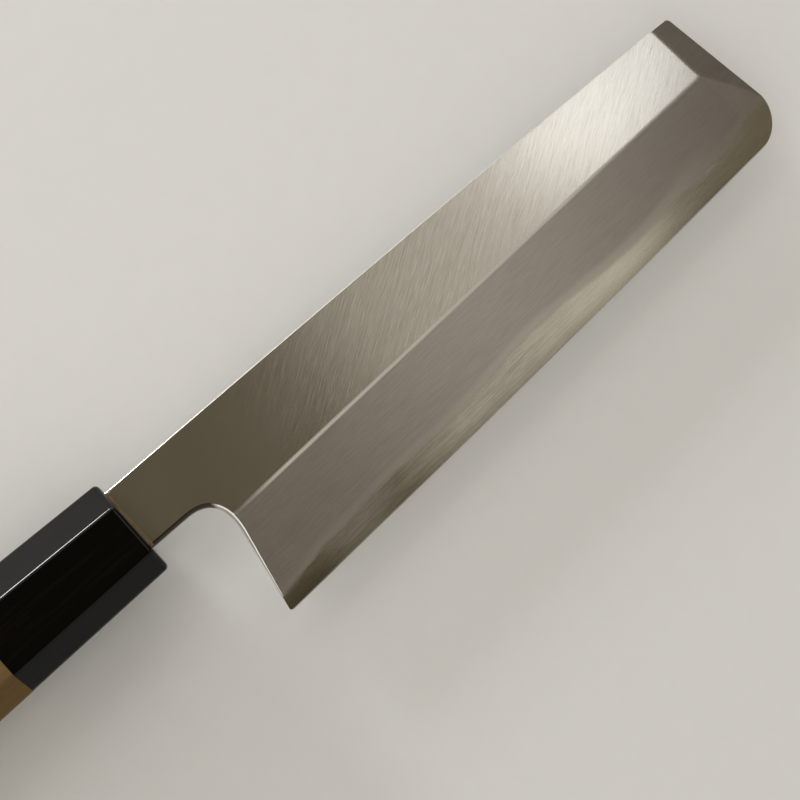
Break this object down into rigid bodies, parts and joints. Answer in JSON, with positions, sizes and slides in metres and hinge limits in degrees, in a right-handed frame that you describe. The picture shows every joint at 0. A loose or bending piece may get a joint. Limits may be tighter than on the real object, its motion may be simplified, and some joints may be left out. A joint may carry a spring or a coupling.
{
  "type": "usuba knife",
  "caption": "Single-bevel square-tipped vegetable knife with a laminated blade, hollow-ground back, black horn ferrule and octagonal wooden handle.",
  "frame": {"origin": "middle of the underside of the knife's box, with the knife lying flat and its bevel side up", "axes": "+X along the handle to the blade's tip, +Y from the edge to the spine, +Z out of the bevel side"},
  "size_m": [0.3224, 0.051, 0.0231],
  "materials": {
    "blade_iron": "satin flat with fine diagonal polish, matte bevel",
    "edge_steel": "brighter stoned steel along the edge and on the back",
    "horn": "polished black buffalo horn",
    "wood": "bare sanded light wood",
    "resin": "honey-coloured sealing resin"
  },
  "bodies": {
    "root": {"blade_iron": "blade_iron", "edge_steel": "edge_steel", "horn_ferrule": "horn", "wood_handle": "wood", "mouth_seal": "resin"}
  },
  "joints": []
}
